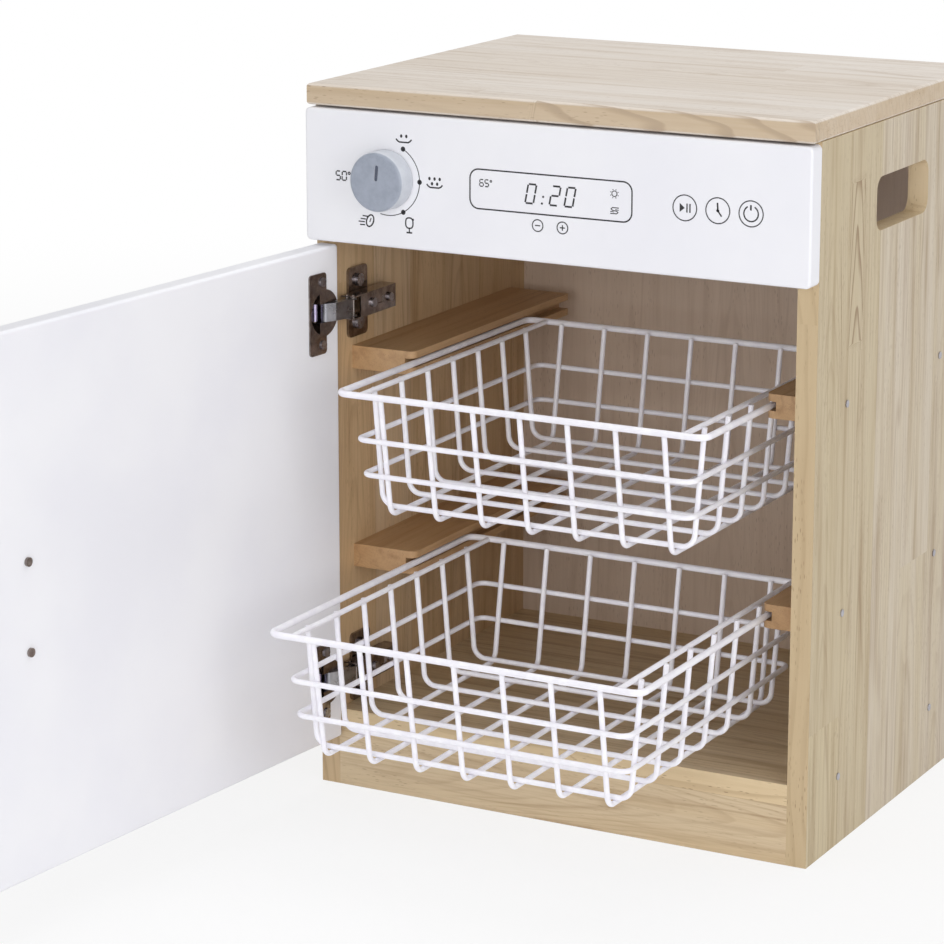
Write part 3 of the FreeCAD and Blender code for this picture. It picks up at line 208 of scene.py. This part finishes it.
def wood(node, palette, along, across, lamella, offset, stave, seed, spread=0.5, figure=None,
         edge=SIDE_EDGE, turn=None, contrast=1.0):
    """Edge-glued staves: grain runs along one axis, strips lie side by side on another.

    spread is how much the staves differ in tone; figure is a box, along and across the
    grain, in which the growth lines stand out, and the shift of their middle; turn is the
    place across the grain behind which the staves are pale.
    """
    g = Nodes("wood_" + node)
    thick = ({"X", "Y", "Z"} - {along, across}).pop()
    axes = g.axes(g.place())
    u, v, w = (axes["XYZ".index(axis)] for axis in (along, across, thick))
    low, high = (corner["XYZ".index(thick)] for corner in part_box(node))
    w = g.math("SUBTRACT", w, (low + high) / 2)
    normal = g.axes(g.add("ShaderNodeTexCoord").outputs["Normal"])["XYZ".index(thick)]
    cut = g.span(g.math("ABSOLUTE", normal), 0.55, 0.15)
    strip_value = g.math("ADD", g.math("DIVIDE", v, lamella), offset)
    strip = g.math("FLOOR", strip_value)
    stave_value = g.math("ADD", g.math("DIVIDE", u, stave),
                         g.math("MULTIPLY", g.random(strip, seed), 5.0))
    stave_index = g.math("FLOOR", stave_value)
    tone = g.random(strip, stave_index, seed + 0.5)
    if turn is not None:
        tone = g.math("ADD", g.math("MULTIPLY", tone, 0.4), g.span(v, turn - 0.001, turn + 0.001,
                                                                  0.0, 0.6))
    warmth = g.random(strip, stave_index, seed + 0.2)
    flat = g.span(g.random(strip, stave_index, seed + 0.7), 0.40, 0.55)
    shift = g.math("MULTIPLY", g.random(strip, stave_index, seed + 0.8), 9.0)
    along_u, across_v = g.math("ADD", u, shift), g.math("ADD", v, shift)
    edge_place = g.math("FRACT", strip_value)
    v_local = g.math("MULTIPLY", g.math("SUBTRACT", edge_place, 0.5), lamella)
    if figure:
        zone = g.math("MULTIPLY", inside(g, u, figure[0], figure[1], 0.004),
                      inside(g, v, figure[2], figure[3], 0.002))
        centre = (figure[2] + figure[3]) / 2 + figure[4]
        v_local = g.math("ADD", g.math("MULTIPLY", v_local, g.math("SUBTRACT", 1.0, zone)),
                         g.math("MULTIPLY", g.math("SUBTRACT", v, centre), zone))
        flat = g.math("MAXIMUM", flat, zone)
    v_local = g.math("ADD", v_local, g.math("MULTIPLY", w, 0.35))

    drift = g.noise(stretched(g, along_u, across_v, w, 2.6, 18.0), 1.0, 3.0, 0.55)
    lines = growth_lines(g, u, v_local, drift, flat)
    band = g.noise(stretched(g, along_u, across_v, w, 2.0, 42.0), 1.0, 3.0, 0.55)
    streak = g.noise(stretched(g, along_u, across_v, w, 5.0, 110.0), 1.0, 3.0, 0.55)
    fibre = g.noise(stretched(g, along_u, across_v, w, 24.0, 620.0), 1.0, 3.0, 0.6)
    vein_field = g.noise(stretched(g, along_u, across_v, w, 1.3, 24.0), 1.0, 2.0, 0.4)
    vein = g.span(g.math("ABSOLUTE", g.math("SUBTRACT", vein_field, 0.5)), 0.016, 0.0)
    cloud = g.noise(stretched(g, along_u, across_v, w, 7.0, 22.0), 1.0, 3.0, 0.55)
    fleck_cells = g.cells(stretched(g, along_u, across_v, w, 110.0, 620.0), 1.0)
    fleck_field = g.noise(stretched(g, along_u, across_v, w, 8.0, 60.0), 1.0, 2.0)
    flecks = g.math("MULTIPLY", g.span(fleck_cells, 0.28, 0.10),
                    g.span(fleck_field, 0.40, 0.62))

    pale, middle, brown = palette
    colour = g.mix(g.span(tone, 0.0, 1.0, 0.5 - spread / 2, 0.5 + spread / 2), middle, pale)
    colour = g.mix(g.span(band, 0.34, 0.70, 0.0, 0.55), colour, middle)
    colour = g.mix(g.span(streak, 0.46, 0.80, 0.0, 0.42 * contrast), colour, brown)
    colour = g.mix(g.math("MULTIPLY", warmth, 0.10 * spread), colour, brown)
    strength = g.span(cloud, 0.35, 0.65, 0.02, 0.20 * contrast)
    if figure:
        near_middle = g.span(g.math("ABSOLUTE", v_local), 0.019, 0.011)
        marked = g.math("MULTIPLY", zone, near_middle)
        strength = g.math("MAXIMUM", strength, g.math("MULTIPLY", marked, 0.80))
    colour = g.mix(g.math("MULTIPLY", lines, strength), colour, brown)
    colour = g.mix(g.math("MULTIPLY", vein, g.span(cloud, 0.4, 0.6, 0.0, 0.38)), colour, brown)
    colour = g.mix(g.span(fibre, 0.40, 0.78, 0.0, 0.20 * contrast), colour, brown)
    if edge:
        colour = g.mix(g.math("MULTIPLY", cut, 0.66), colour, edge)
        ringed = g.math("MULTIPLY", cut, g.math("ADD", 0.15, g.math("MULTIPLY", zone, 0.55))
                        if figure else 0.25)
        colour = g.mix(g.math("MULTIPLY", ringed, lines), colour, brown)
        flecks = g.math("MULTIPLY", flecks, g.math("ADD", 0.36, g.math("MULTIPLY", cut, 0.30)))
    else:
        flecks = g.math("MULTIPLY", flecks, 0.45)
    colour = g.mix(flecks, colour, WOOD_FLECK)
    near = g.math("MINIMUM", edge_place, g.math("SUBTRACT", 1.0, edge_place))
    colour = g.mix(g.span(near, 0.002, 0.012, 0.28, 0.0), colour, brown)
    g.set(Base_Color=colour, Roughness=g.span(streak, 0.3, 0.8, 0.46, 0.60), Coat_Weight=0.08,
          Coat_Roughness=0.35)
    height = g.math("SUBTRACT", g.math("MULTIPLY", fibre, 0.3), flecks)
    height = g.math("SUBTRACT", height, g.math("MULTIPLY", lines, 0.15))
    g.bump(height, 0.25, 0.0002)
    return g.material


def make_woods():
    """Each board has its own run of grain."""
    boards = {
        # top_board: its pale grey palette carries painted sheen.
        "top_board": (TOP_WOOD_WITH_PAINTED_SHEEN, "X", "Y", 0.052, 0.25, 0.62, 3.0, 0.7,
                      (-0.0155, 0.30, -0.06, -0.010, 0.006), TOP_EDGE, None, 1.2),
        # side_panel_left: its warmer palette carries painted interior shade.
        "side_panel_left": (INNER_WOOD_WITH_PAINTED_SHADE, "Z", "Y", 0.057, 0.14, 1.60, 5.0, 0.8, None, SIDE_EDGE,
                            None, 1.1),
        "side_panel_right": (SIDE_WOOD, "Z", "Y", 0.057, 0.14, 1.60, 11.0, 1.0,
                             (0.375, 0.50, 0.046, 0.0765, 0.004), SIDE_EDGE, 0.106, 1.15),
        "bottom_board": (BASE_WOOD, "X", "Y", 0.047, 0.0, 0.90, 17.0, 0.6, None, SIDE_EDGE, None,
                         1.2),
        "plinth": (BASE_WOOD, "X", "Z", 0.0455, 0.0, 0.90, 23.0, 0.6, None, SIDE_EDGE, None, 1.2),
    }
    for node, recipe in boards.items():
        finish(node, wood(node, *recipe))
    for number, node in enumerate(("runner_upper_left", "runner_upper_right",
                                   "runner_lower_left", "runner_lower_right")):
        finish(node, wood(node, RUNNER_WOOD, "Y", "Z", 0.2, 0.5, 0.9, 31.0 + 4 * number, 0.4,
                          None, None))
    finish("back_panel", wood("back_panel", BACK_SHEET, "Z", "X", 0.60, 0.5, 2.0, 47.0, 0.3))


def finish(node, material):
    """Give a CAD node its material."""
    slots = nodes[node].material_slots
    if not slots:
        nodes[node].data.materials.append(material)
    for slot in slots:
        slot.material = material


# White lacquer, wire, knob and metals

def lacquer():
    g = Nodes("white_lacquer_finish")
    place = g.place()
    cloud = g.noise(place, 9.0, 3.0)
    peel = g.noise(place, 900.0, 2.0)
    g.set(Base_Color=g.mix(g.span(cloud, 0.3, 0.7), rgb(238, 238, 244), rgb(243, 243, 247)),
          Roughness=g.span(cloud, 0.3, 0.7, 0.32, 0.40), Specular_IOR_Level=0.45)
    g.bump(peel, 0.06, 0.0002)
    return g.material


def wire_coat():
    g = Nodes("white_wire_coat")
    place = g.place()
    peel = g.noise(place, 1500.0, 2.0)
    thick = g.noise(place, 120.0, 2.0)
    g.set(Base_Color=g.mix(g.span(thick, 0.35, 0.7), rgb(243, 241, 249), rgb(250, 249, 254)),
          Roughness=g.span(thick, 0.3, 0.7, 0.28, 0.4), Coat_Weight=0.25, Coat_Roughness=0.2)
    g.bump(peel, 0.12, 0.0002)
    return g.material


def knob_paint():
    g = Nodes("knob_paint")
    place = g.place()
    cloud = g.noise(place, 160.0, 4.0, 0.6)
    grit = g.noise(place, 2600.0, 2.0)
    face = g.mix(g.span(cloud, 0.3, 0.7), rgb(151, 158, 172), rgb(162, 169, 183))
    # The knob's sides are lighter than its face: painted light falling on them from the right and
    # above.
    painted_lit_skirt = g.mix(g.span(cloud, 0.3, 0.7), rgb(196, 200, 208), rgb(206, 210, 217))
    front = g.axes(g.add("ShaderNodeTexCoord").outputs["Normal"])["XYZ".index("Y")]
    g.set(Base_Color=g.mix(g.span(g.math("ABSOLUTE", front), 0.75, 0.35), face, painted_lit_skirt),
          Roughness=g.span(cloud, 0.3, 0.7, 0.36, 0.48))
    g.bump(grit, 0.10, 0.0002)
    return g.material


def metal(name, low, high, rough_low, rough_high):
    g = Nodes(name)
    place = g.place()
    smear = g.noise(place, 140.0, 4.0, 0.65)
    brush = g.noise(place, 1800.0, 2.0)
    g.set(Base_Color=g.mix(g.span(smear, 0.3, 0.75), low, high), Metallic=1.0,
          Roughness=g.span(smear, 0.25, 0.75, rough_low, rough_high))
    g.bump(brush, 0.08, 0.0002)
    return g.material


def ink():
    g = Nodes("black_print")
    speck = g.noise(g.place(), 2500.0, 2.0)
    g.set(Base_Color=g.mix(g.span(speck, 0.35, 0.8), rgb(30, 29, 32), rgb(62, 60, 64)),
          Roughness=0.55)
    return g.material


def make_finishes():
    white = lacquer()
    for node in ("door_panel", "control_fascia"):
        finish(node, white)
    coat = wire_coat()
    for node in nodes:
        if "_basket_" in node:
            finish(node, coat)
    finish("program_knob", knob_paint())
    nickel = metal("nickel_plate", rgb(122, 112, 107), rgb(172, 162, 157), 0.09, 0.24)
    steel = metal("link_plate", rgb(150, 150, 156), rgb(178, 178, 184), 0.24, 0.36)
    violet = metal("sleeve_plate", rgb(178, 170, 205), rgb(206, 198, 228), 0.22, 0.34)
    zinc = metal("zinc_plate", rgb(152, 150, 158), rgb(190, 189, 196), 0.22, 0.36)
    for node in nodes:
        if node.startswith(("hinge_", "mounting_", "cup_", "handle_", "door_handle",
                            "knob_spindle")):
            finish(node, nickel)
        if node.startswith(("inner_link", "outer_link")):
            finish(node, steel)
        if node in ("cup_screws", "mounting_plate_screws", "hinge_clamp_screws"):
            finish(node, zinc)
    finish("case_screws", zinc)
    finish("cup_sleeves", violet)


# Prints on the control panel: flat shapes on its front face, in millimetres from its middle

PRINT_LIFT = 0.06 * MM
fascia_low, fascia_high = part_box("control_fascia")
FASCIA_FACE = fascia_low[1]


class Print:
    """Flat ink shapes drawn on the control panel."""

    def __init__(self, name, material):
        self.name = name
        self.material = material
        self.mesh = bmesh.new()

    def polygon(self, points):
        corners = [self.mesh.verts.new((x * MM, FASCIA_FACE - PRINT_LIFT, z * MM))
                   for x, z in points]
        self.mesh.faces.new(corners)

    def stroke(self, points, width, closed=False):
        """Line of one width through the points, with mitred corners."""
        count = len(points)
        sides = []
        for number, (x, z) in enumerate(points):
            before = points[number - 1] if number or closed else points[number]
            after = points[(number + 1) % count] if number < count - 1 or closed else points[number]
            first = Vector((x - before[0], z - before[1]))
            second = Vector((after[0] - x, after[1] - z))
            first = first.normalized() if first.length else second.normalized()
            second = second.normalized() if second.length else first
            middle = (first + second).normalized()
            normal = Vector((-middle.y, middle.x))
            reach = width / 2 / max(0.35, middle.dot(first))
            sides.append(((x + normal.x * reach, z + normal.y * reach),
                          (x - normal.x * reach, z - normal.y * reach)))
        for number in range(count if closed else count - 1):
            one, two = sides[number], sides[(number + 1) % count]
            self.polygon([one[0], two[0], two[1], one[1]])

    def arc(self, centre, radius, start, end, width, steps=40):
        turn = [math.radians(start + (end - start) * n / steps) for n in range(steps + 1)]
        points = [(centre[0] + radius * math.cos(a), centre[1] + radius * math.sin(a))
                  for a in turn]
        full = abs(abs(end - start) - 360) < 1e-6
        self.stroke(points[:-1] if full else points, width, full)

    def dot(self, centre, radius, steps=28):
        turn = [2 * math.pi * n / steps for n in range(steps)]
        self.polygon([(centre[0] + radius * math.cos(a), centre[1] + radius * math.sin(a))
                      for a in turn])

    def oval(self, centre, wide, tall, width, lean=0.0, steps=48, power=2.0):
        """Closed outline: an ellipse, or squarer with a higher power."""
        points = []
        for n in range(steps):
            turn = 2 * math.pi * n / steps
            x = math.copysign(abs(math.cos(turn)) ** (2 / power), math.cos(turn)) * wide
            z = math.copysign(abs(math.sin(turn)) ** (2 / power), math.sin(turn)) * tall
            points.append((centre[0] + x + z * lean, centre[1] + z))
        self.stroke(points, width, True)

    def drop(self, centre, wide, tall, steps=20):
        turn = [2 * math.pi * n / steps for n in range(steps)]
        self.polygon([(centre[0] + wide * math.cos(a), centre[1] + tall * math.sin(a))
                      for a in turn])

    def done(self):
        data = bpy.data.meshes.new(self.name)
        bmesh.ops.recalc_face_normals(self.mesh, faces=self.mesh.faces)
        self.mesh.to_mesh(data)
        self.mesh.free()
        data.materials.append(self.material)
        piece = bpy.data.objects.new(self.name, data)
        bpy.context.collection.objects.link(piece)
        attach(piece, "cabinet")
        return piece


SEGMENTS = {"0": "abcdef", "1": "bc", "2": "abged", "5": "afgcd", "6": "afgedc", "4": "fgbc"}


def segment_digit(drawing, digit, corner, width, height, line, lean=0.12):
    """Seven-segment digit from its lower left corner."""
    half = height / 2
    ends = {
        "a": ((0, height), (width, height)), "g": ((0, half), (width, half)),
        "d": ((0, 0), (width, 0)), "f": ((0, half), (0, height)),
        "b": ((width, half), (width, height)), "e": ((0, 0), (0, half)),
        "c": ((width, 0), (width, half)),
    }
    for segment in SEGMENTS[digit]:
        placed = [(corner[0] + x + z * lean, corner[1] + z) for x, z in ends[segment]]
        span = Vector(placed[1]) - Vector(placed[0])
        trim = span.normalized() * line * 0.36
        start, end = Vector(placed[0]) + trim, Vector(placed[1]) - trim
        drawing.stroke([tuple(start), tuple(end)], line)


KNOB_CENTRE = (-133.6, 483.5)
DIAL_RADIUS = 26.9
DOT_ANGLES = (61, 0, -61)
LINE = 0.95


def rounded_rectangle(x0, z0, x1, z1, radius, steps=8):
    points = []
    corners = ((x1 - radius, z1 - radius, 0), (x0 + radius, z1 - radius, 90),
               (x0 + radius, z0 + radius, 180), (x1 - radius, z0 + radius, 270))
    for x, z, start in corners:
        for n in range(steps + 1):
            angle = math.radians(start + 90 * n / steps)
            points.append((x + radius * math.cos(angle), z + radius * math.sin(angle)))
    return points


def basin(drawing, centre, drops, lowest):
    """Wide flat basin under rows of water drops."""
    x, z = centre
    drawing.stroke([(x - 6.6, z + 2.3), (x - 5.2, z + 0.8), (x - 3.6, z), (x + 3.6, z),
                    (x + 5.2, z + 0.8), (x + 6.6, z + 2.3)], LINE * 1.2)
    for row, count in enumerate(drops):
        for column in range(count):
            offset = (column - (count - 1) / 2) * 4.3
            drawing.drop((x + offset, z + lowest + 3.7 * row), 1.0, 1.3)


def number_sign(drawing, digits, corner, width, height, line):
    """Plain number with a degree ring."""
    for place, digit in enumerate(digits):
        segment_digit(drawing, digit, (corner[0] + place * width * 1.42, corner[1]), width,
                      height, line, 0.04)
    ring = (corner[0] + len(digits) * width * 1.42 + width * 0.25, corner[1] + height * 0.84)
    drawing.arc(ring, height * 0.13, 0, 360, line * 0.8, 16)


def make_dial_print(material):
    dial = Print("dial_print", material)
    dial.arc(KNOB_CENTRE, DIAL_RADIUS, 61, -104, 0.65)
    for angle in DOT_ANGLES:
        turn = math.radians(angle)
        dial.dot((KNOB_CENTRE[0] + DIAL_RADIUS * math.cos(turn),
                  KNOB_CENTRE[1] + DIAL_RADIUS * math.sin(turn)), 1.9)
    basin(dial, (-119.9, 512.1), (2,), 4.5)
    basin(dial, (-94.1, 480.4), (2, 3), 2.8)
    glass = (-115.5, 452.3)
    dial.oval(glass, 3.1, 3.9, 1.1, 0.0, 48, 2.6)
    dial.stroke([(glass[0], glass[1] - 3.9), (glass[0], glass[1] - 7.0)], 0.9)
    dial.stroke([(glass[0] - 2.4, glass[1] - 7.2), (glass[0] + 2.4, glass[1] - 7.2)], 1.2)
    dial.drop((glass[0] + 3.2, glass[1] + 2.7), 0.8, 0.9)
    clock = (-148.9, 451.3)
    dial.oval(clock, 3.0, 4.4, 1.15, 0.22)
    dial.stroke([(clock[0] + 0.9, clock[1] + 2.0), (clock[0] - 0.3, clock[1] - 1.0)], 0.8)
    for start, end in (((-155.3, 454.7), (-150.8, 454.4)), ((-157.0, 452.4), (-152.6, 452.2)),
                       ((-158.8, 450.2), (-153.4, 450.1)), ((-157.6, 447.8), (-153.2, 447.9))):
        dial.stroke([start, end], 0.95)
    number_sign(dial, "50", (-178.0, 479.9), 3.7, 6.6, 1.05)
    return dial.done()


def make_display_print(material):
    shown = Print("display_print", material)
    shown.stroke(rounded_rectangle(-64.6, 468.0, 66.4, 497.1, 7.0), 1.1, True)
    for digit, start in (("0", -19.3), ("2", 0.3), ("0", 12.4)):
        segment_digit(shown, digit, (start, 475.4), 6.7, 14.0, 1.35, 0.19)
    for x, z in ((-5.6, 476.0), (-4.6, 481.0)):
        shown.dot((x, z), 0.85)
    number_sign(shown, "65", (-56.6, 484.7), 3.0, 5.0, 0.85)
    sun = (52.5, 487.9)
    shown.arc(sun, 2.0, 0, 360, 0.7)
    for number in range(8):
        turn = math.radians(45 * number + 22)
        ray = (math.cos(turn), math.sin(turn))
        shown.stroke([(sun[0] + 2.7 * ray[0], sun[1] + 2.7 * ray[1]),
                      (sun[0] + 3.5 * ray[0], sun[1] + 3.5 * ray[1])], 0.7)
    wave = (52.7, 475.6)
    path = ((3.4, 2.2), (-1.6, 2.2), (-2.8, 1.2), (-1.6, 0.2), (1.8, -0.2), (2.8, -1.1),
            (1.6, -2.1), (-3.4, -2.1))
    shown.stroke([(wave[0] + x, wave[1] + z) for x, z in path], 0.7)
    shown.stroke([(wave[0] - 3.4, wave[1] - 0.6), (wave[0] - 0.4, wave[1] - 0.9)], 0.6)
    shown.stroke([(wave[0] + 0.6, wave[1] + 0.9), (wave[0] + 3.4, wave[1] + 0.6)], 0.6)
    for centre, strokes in (((-9.0, 459.6), 1), ((11.1, 459.6), 2)):
        shown.arc(centre, 4.3, 0, 360, 0.85)
        shown.stroke([(centre[0] - 2.1, centre[1]), (centre[0] + 2.1, centre[1])], 0.85)
        if strokes == 2:
            shown.stroke([(centre[0], centre[1] - 2.1), (centre[0], centre[1] + 2.1)], 0.85)
    return shown.done()


def make_button_print(material):
    buttons = Print("button_print", material)
    play, clock, power = (107.8, 482.3), (133.3, 482.4), (158.8, 482.3)
    for centre in (play, clock, power):
        buttons.arc(centre, 9.2, 0, 360, 0.85)
    x, z = play
    buttons.polygon([(x - 4.0, z + 3.3), (x - 0.1, z), (x - 4.0, z - 3.3)])
    for shift in (1.7, 4.0):
        buttons.stroke([(x + shift, z - 3.2), (x + shift, z + 3.2)], 1.05)
    x, z = clock
    buttons.stroke([(x - 0.3, z + 5.6), (x, z)], 1.25)
    buttons.stroke([(x, z), (x + 3.0, z - 4.0)], 1.15)
    buttons.dot(clock, 1.15)
    x, z = power
    buttons.arc(power, 5.5, 118, 422, 1.05)
    buttons.stroke([(x - 0.2, z + 2.4), (x - 0.2, z + 6.2)], 1.3)
    return buttons.done()


def plain_piece(name, corners, faces, material, body):
    data = bpy.data.meshes.new(name)
    data.from_pydata(corners, [], faces)
    data.materials.append(material)
    piece = bpy.data.objects.new(name, data)
    bpy.context.collection.objects.link(piece)
    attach(piece, body)
    return piece


GROOVE_START, GROOVE_LENGTH, GROOVE_WIDTH, GROOVE_LEAN = 0.8, 12.0, 3.0, 5.3
GROOVE_FLOOR = 0.9


def slate():
    g = Nodes("pointer_paint")
    grain = g.noise(g.place(), 1800.0, 2.0)
    g.set(Base_Color=g.mix(g.span(grain, 0.3, 0.8), rgb(78, 84, 100), rgb(96, 102, 118)),
          Roughness=0.55)
    return g.material


def make_knob_mark():
    """Dark paint on the floor of the knob's pointer groove."""
    low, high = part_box("program_knob")
    centre = Vector(((low[0] + high[0]) / 2, (low[2] + high[2]) / 2))
    half = GROOVE_WIDTH / 2 - 0.08
    outline = rounded_rectangle(-half, GROOVE_START + 0.08, half,
                                GROOVE_START + GROOVE_LENGTH - 0.08, 1.35)
    lean = math.radians(GROOVE_LEAN)
    y = low[1] + (GROOVE_FLOOR - 0.05) * MM
    corners = []
    for x, z in outline:
        turned_x = x * math.cos(lean) + z * math.sin(lean)
        turned_z = z * math.cos(lean) - x * math.sin(lean)
        corners.append((centre.x + turned_x * MM, y, centre.y + turned_z * MM))
    plain_piece("knob_mark", corners, [tuple(range(len(corners)))], slate(), "knob")


# Studio: floor, lights, sky and camera

FLOOR_REACH = 20.0
FLOOR_FADE = (0.9, 2.6)
FLOOR_SHADE = 0.22


def floor_finish():
    """White floor that keeps a soft shadow near the object and fades to plain white."""
    g = Nodes("studio_floor")
    axes = g.axes(g.place())
    flat = g.math("SQRT", g.math("ADD", g.math("POWER", axes[0], 2.0),
                                 g.math("POWER", axes[1], 2.0)))
    whiteness = g.span(flat, FLOOR_FADE[0], FLOOR_FADE[1], 1.0 - FLOOR_SHADE, 1.0)
    g.set(Base_Color=rgb(246, 246, 247), Roughness=0.9)
    rays = g.add("ShaderNodeLightPath").outputs
    seen = g.math("MAXIMUM", rays["Is Camera Ray"], rays["Is Glossy Ray"])
    glow = g.add("ShaderNodeEmission")
    mixed = g.add("ShaderNodeMixShader")
    g.feed(mixed.inputs[0], g.math("MULTIPLY", seen, whiteness))
    g.feed(mixed.inputs[1], g.shader.outputs[0])
    g.feed(mixed.inputs[2], glow.outputs[0])
    g.feed(g.output.inputs[0], mixed.outputs[0])
    return g.material


def make_floor():
    data = bpy.data.meshes.new("floor")
    r = FLOOR_REACH
    data.from_pydata([(-r, -r, 0), (r, -r, 0), (r, r, 0), (-r, r, 0)], [], [(0, 1, 2, 3)])
    data.materials.append(floor_finish())
    floor = bpy.data.objects.new("floor", data)
    floor.location.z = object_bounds()[0][2] - 0.0002
    bpy.context.collection.objects.link(floor)


def area_light(name, place, target, width, height, power):
    data = bpy.data.lights.new(name, "AREA")
    data.shape = "RECTANGLE"
    data.size = width
    data.size_y = height
    data.energy = power
    lamp = bpy.data.objects.new(name, data)
    lamp.location = place
    lamp.rotation_euler = (Vector(target) - Vector(place)).to_track_quat("-Z", "Y").to_euler()
    bpy.context.collection.objects.link(lamp)


def make_lights():
    area_light("front", (0.7, -3.0, 0.95), (0, 0.1, 0.25), 1.4, 1.4, 25)
    area_light("right", (2.6, -1.1, 1.0), (0, 0.1, 0.25), 1.8, 1.8, 22)
    area_light("overhead", (0.1, 0.3, 2.4), (0, 0.1, 0.5), 1.8, 1.8, 22)
    world = bpy.data.worlds.new("studio_sky")
    world.use_nodes = True
    tree = world.node_tree
    tree.nodes.clear()
    output = tree.nodes.new("ShaderNodeOutputWorld")
    sky = tree.nodes.new("ShaderNodeBackground")
    seen = tree.nodes.new("ShaderNodeBackground")
    rays = tree.nodes.new("ShaderNodeLightPath")
    mixed = tree.nodes.new("ShaderNodeMixShader")
    sky.inputs["Strength"].default_value = 0.46
    sky.inputs["Color"].default_value = (1, 1, 1, 1)
    seen.inputs["Color"].default_value = (1, 1, 1, 1)
    seen.inputs["Strength"].default_value = 1.0
    tree.links.new(rays.outputs["Is Camera Ray"], mixed.inputs[0])
    tree.links.new(sky.outputs[0], mixed.inputs[1])
    tree.links.new(seen.outputs[0], mixed.inputs[2])
    tree.links.new(mixed.outputs[0], output.inputs[0])
    bpy.context.scene.world = world


def make_camera():
    data = bpy.data.cameras.new("photo_camera")
    data.sensor_width = SENSOR_WIDTH
    data.lens = FOCAL_PIXELS / PHOTO_SIDE * SENSOR_WIDTH
    data.shift_y = (AXIS_PIXEL_Y - PHOTO_SIDE / 2) / PHOTO_SIDE
    data.clip_end = 100.0
    azimuth, elevation = math.radians(CAMERA_AZIMUTH), math.radians(CAMERA_ELEVATION)
    back = Vector((math.sin(azimuth) * math.cos(elevation),
                   -math.cos(azimuth) * math.cos(elevation), math.sin(elevation)))
    right = Vector((0, 0, 1)).cross(back).normalized()
    up = back.cross(right)
    turn = Matrix((right, up, back)).transposed().to_4x4()
    camera = bpy.data.objects.new("photo_camera", data)
    roll = Matrix.Rotation(math.radians(CAMERA_ROLL), 4, "Z")
    camera.matrix_world = Matrix.Translation(CAMERA_PLACE) @ turn @ roll
    bpy.context.collection.objects.link(camera)
    bpy.context.scene.camera = camera


make_woods()
make_finishes()
black = ink()
make_dial_print(black)
make_display_print(black)
make_button_print(black)
make_knob_mark()
make_floor()
make_lights()
make_camera()
bpy.context.scene.view_settings.view_transform = "Standard"
